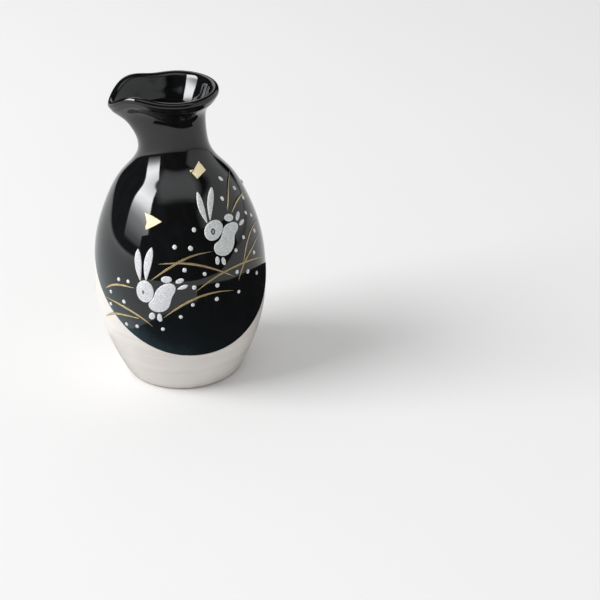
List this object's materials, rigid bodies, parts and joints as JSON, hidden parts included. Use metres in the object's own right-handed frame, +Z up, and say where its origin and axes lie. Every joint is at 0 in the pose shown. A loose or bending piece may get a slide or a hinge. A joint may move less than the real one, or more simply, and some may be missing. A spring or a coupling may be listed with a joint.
{
  "type": "sake bottle",
  "caption": "Small porcelain sake bottle with a pinched pouring lip, slant-dipped black glaze and raised white enamel rabbits and snow.",
  "frame": {"origin": "centre of the foot ring, on the surface the bottle stands on", "axes": "+Z up along the bottle's axis, -Y towards the decorated front, -X towards the pouring lip"},
  "size_m": [0.0864, 0.0873, 0.153],
  "materials": {
    "white_porcelain": "satin, faint throwing lines, bare ring under the foot",
    "black_glaze": "high gloss near-black, blue-green where it thins at the dipped edge",
    "white_enamel": "matt, finely granular, slightly silvery",
    "gold_leaf": "bright crinkled leaf"
  },
  "bodies": {
    "root": {"black_glaze": "black_glaze", "gold_leaf_arrow": "gold_leaf", "gold_leaf_diamond": "gold_leaf", "lower_rabbit_head": "white_enamel", "lower_rabbit_left_ear": "white_enamel", "lower_rabbit_left_front_paw": "white_enamel", "lower_rabbit_lower_hind_foot": "white_enamel", "lower_rabbit_right_ear": "white_enamel", "lower_rabbit_right_front_paw": "white_enamel", "lower_rabbit_tail": "white_enamel", "lower_rabbit_torso": "white_enamel", "lower_rabbit_upper_hind_foot": "white_enamel", "porcelain_body": "white_porcelain", "snow_dot_01": "white_enamel", "snow_dot_02": "white_enamel", "snow_dot_03": "white_enamel", "snow_dot_04": "white_enamel", "snow_dot_05": "white_enamel", "snow_dot_06": "white_enamel", "snow_dot_07": "white_enamel", "snow_dot_08": "white_enamel", "snow_dot_09": "white_enamel", "snow_dot_10": "white_enamel", "snow_dot_11": "white_enamel", "snow_dot_12": "white_enamel", "snow_dot_13": "white_enamel", "snow_dot_14": "white_enamel", "snow_dot_15": "white_enamel", "snow_dot_16": "white_enamel", "snow_dot_17": "white_enamel", "snow_dot_18": "white_enamel", "snow_dot_19": "white_enamel", "snow_dot_20": "white_enamel", "snow_dot_21": "white_enamel", "snow_dot_22": "white_enamel", "snow_dot_23": "white_enamel", "snow_dot_24": "white_enamel", "snow_dot_25": "white_enamel", "snow_dot_26": "white_enamel", "snow_dot_27": "white_enamel", "snow_dot_28": "white_enamel", "snow_dot_29": "white_enamel", "snow_dot_30": "white_enamel", "snow_dot_31": "white_enamel", "snow_dot_32": "white_enamel", "snow_dot_33": "white_enamel", "snow_dot_34": "white_enamel", "snow_dot_35": "white_enamel", "snow_dot_36": "white_enamel", "upper_rabbit_head": "white_enamel", "upper_rabbit_left_ear": "white_enamel", "upper_rabbit_left_front_paw": "white_enamel", "upper_rabbit_lower_hind_foot": "white_enamel", "upper_rabbit_right_ear": "white_enamel", "upper_rabbit_right_front_paw": "white_enamel", "upper_rabbit_tail": "white_enamel", "upper_rabbit_torso": "white_enamel", "upper_rabbit_upper_hind_foot": "white_enamel"}
  },
  "joints": []
}
